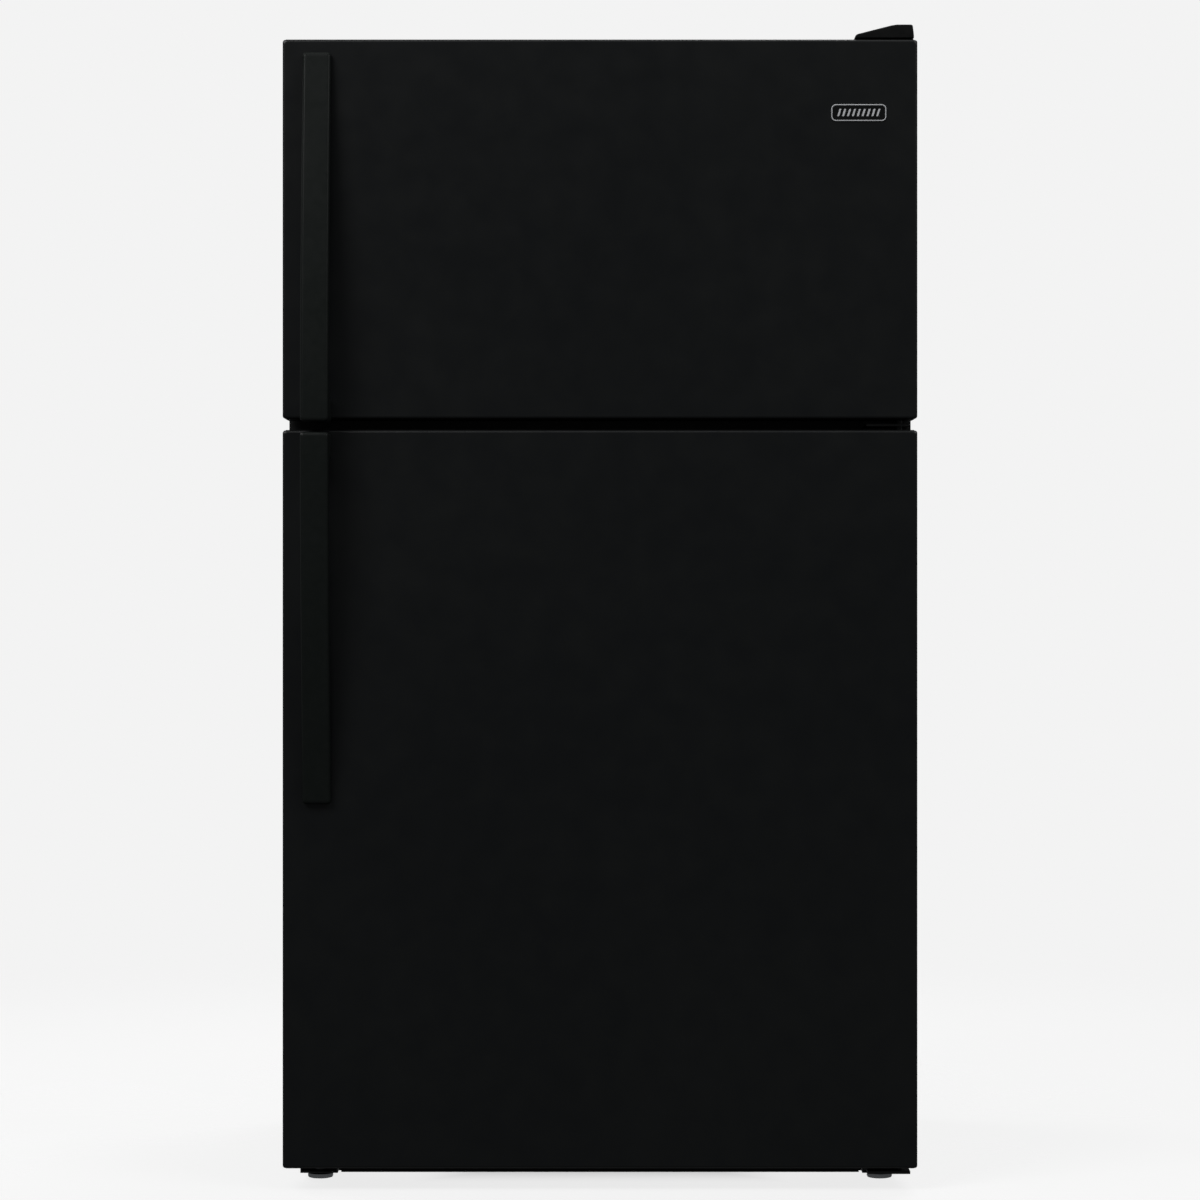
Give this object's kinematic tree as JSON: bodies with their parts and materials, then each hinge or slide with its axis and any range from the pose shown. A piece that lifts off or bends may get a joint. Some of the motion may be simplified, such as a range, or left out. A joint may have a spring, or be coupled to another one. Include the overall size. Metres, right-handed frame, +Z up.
{
  "type": "top freezer refrigerator",
  "caption": "Black top freezer refrigerator with two right-hinged doors, bowed bar handles, door bins, glass shelves, crisper drawers and a fan-cooled base.",
  "frame": {"origin": "on the floor under the middle of the object's bounding box", "axes": "+Z up, the doors face -Y, +X to the right seen from the front (hinge side)"},
  "size_m": [0.832, 0.77, 1.53],
  "materials": {
    "black_enamel": "gloss",
    "black_plastic": "satin",
    "compressor_black": "satin",
    "white_plastic": "satin",
    "grey_plastic": "satin",
    "clear_plastic": "gloss",
    "shelf_glass": "polished",
    "gasket_vinyl": "matte",
    "zinc_steel": "satin",
    "foam": "matte",
    "fin_aluminium": "satin",
    "copper_tube": "satin",
    "badge_metal": "polished",
    "grommet_rubber": "matte"
  },
  "bodies": {
    "cabinet": {"outer_wrapper": "black_enamel", "rear_panel": "zinc_steel", "foam_insulation": "foam", "freezer_liner": "white_plastic", "fridge_liner": "white_plastic", "mullion_rail": "black_enamel", "base_deck": "zinc_steel", "base_frame": "zinc_steel", "toe_grille": "black_plastic", "compressor": "compressor_black", "suction_line": "copper_tube", "condenser_coil": "black_plastic", "condenser_fan_shroud": "grey_plastic", "drain_pan": "black_plastic", "rear_access_cover": "zinc_steel", "cord_gland": "grommet_rubber", "evaporator_coil": "fin_aluminium", "evaporator_cover": "white_plastic", "evaporator_fan_motor": "grey_plastic", "freezer_shelf": "white_plastic", "ice_bin": "white_plastic", "fridge_shelf_upper": "shelf_glass", "fridge_shelf_lower": "shelf_glass", "crisper_cover": "shelf_glass", "control_housing": "white_plastic", "lamp_cover": "clear_plastic", "air_duct_cover": "white_plastic", "top_hinge": "zinc_steel", "top_hinge_cover": "black_plastic", "centre_hinge": "zinc_steel", "bottom_hinge": "zinc_steel"},
    "freezer_door": {"freezer_door_panel": "black_enamel", "freezer_door_foam": "foam", "freezer_door_liner": "white_plastic", "freezer_door_gasket": "gasket_vinyl", "freezer_door_handle": "black_plastic", "badge": "badge_metal", "freezer_door_bin_upper": "clear_plastic", "freezer_door_bin_lower": "clear_plastic"},
    "fridge_door": {"fridge_door_panel": "black_enamel", "fridge_door_foam": "foam", "fridge_door_liner": "white_plastic", "fridge_door_gasket": "gasket_vinyl", "fridge_door_handle": "black_plastic", "door_bin_lower": "clear_plastic", "door_bin_middle": "clear_plastic", "door_bin_upper": "clear_plastic", "dairy_compartment": "white_plastic"},
    "dairy_lid": {"dairy_lid": "clear_plastic"},
    "crisper_left": {"crisper_left": "clear_plastic"},
    "crisper_right": {"crisper_right": "clear_plastic"},
    "temperature_knob": {"temperature_knob": "grey_plastic"},
    "freezer_airflow_slider": {"freezer_airflow_slider": "grey_plastic"},
    "evaporator_fan": {"evaporator_fan": "grey_plastic"},
    "condenser_fan": {"condenser_fan": "grey_plastic"},
    "light_switch": {"light_switch": "white_plastic"},
    "rear_roller_left": {"rear_roller_left": "grey_plastic"},
    "rear_roller_right": {"rear_roller_right": "grey_plastic"},
    "leveling_leg_left": {"leveling_leg_left": "zinc_steel"},
    "leveling_leg_right": {"leveling_leg_right": "zinc_steel"}
  },
  "joints": [
    {"name": "freezer_door_hinge", "type": "hinge", "parent": "cabinet", "child": "freezer_door", "pos_m": [0.394, -0.298, 1.26], "axis": [0, 0, 1], "range_deg": [0, 125]},
    {"name": "fridge_door_hinge", "type": "hinge", "parent": "cabinet", "child": "fridge_door", "pos_m": [0.394, -0.298, 0.51], "axis": [0, 0, 1], "range_deg": [0, 125]},
    {"name": "dairy_lid_hinge", "type": "hinge", "parent": "fridge_door", "child": "dairy_lid", "pos_m": [-0.16725, -0.252, 0.815], "axis": [1, 0, 0], "range_deg": [0, 80]},
    {"name": "crisper_left_slide", "type": "slide", "parent": "cabinet", "child": "crisper_left", "axis": [0, -1, 0], "range_m": [0, 0.2]},
    {"name": "crisper_right_slide", "type": "slide", "parent": "cabinet", "child": "crisper_right", "axis": [0, -1, 0], "range_m": [0, 0.2]},
    {"name": "light_switch_slide", "type": "slide", "parent": "cabinet", "child": "light_switch", "axis": [0, -1, 0], "range_m": [0, 0.01]},
    {"name": "temperature_knob_turn", "type": "hinge", "parent": "cabinet", "child": "temperature_knob", "pos_m": [-0.06, -0.0905, 0.935], "axis": [0, -1, 0], "range_deg": [0, 270]},
    {"name": "freezer_airflow_slide", "type": "slide", "parent": "cabinet", "child": "freezer_airflow_slider", "axis": [1, 0, 0], "range_m": [-0.02, 0.02]},
    {"name": "evaporator_fan_spin", "type": "hinge", "parent": "cabinet", "child": "evaporator_fan", "pos_m": [0, 0.256, 1.385], "axis": [0, 1, 0], "continuous": true},
    {"name": "condenser_fan_spin", "type": "hinge", "parent": "cabinet", "child": "condenser_fan", "pos_m": [-0.042, 0.285, 0.15], "axis": [1, 0, 0], "continuous": true},
    {"name": "rear_roller_left_spin", "type": "hinge", "parent": "cabinet", "child": "rear_roller_left", "pos_m": [-0.375, 0.33, 0.018], "axis": [1, 0, 0], "continuous": true},
    {"name": "rear_roller_right_spin", "type": "hinge", "parent": "cabinet", "child": "rear_roller_right", "pos_m": [0.375, 0.33, 0.018], "axis": [1, 0, 0], "continuous": true},
    {"name": "leveling_leg_left_turn", "type": "hinge", "parent": "cabinet", "child": "leveling_leg_left", "pos_m": [-0.375, -0.205, 0.004], "axis": [0, 0, 1], "continuous": true},
    {"name": "leveling_leg_right_turn", "type": "hinge", "parent": "cabinet", "child": "leveling_leg_right", "pos_m": [0.375, -0.205, 0.004], "axis": [0, 0, 1], "continuous": true}
  ],
  "couplings": [
    {"joint": "crisper_left_slide", "follows": "fridge_door_hinge", "m_per_rad": 0.0916},
    {"joint": "crisper_right_slide", "follows": "fridge_door_hinge", "m_per_rad": 0.0916},
    {"joint": "light_switch_slide", "follows": "fridge_door_hinge", "m_per_rad": 0.00458}
  ]
}
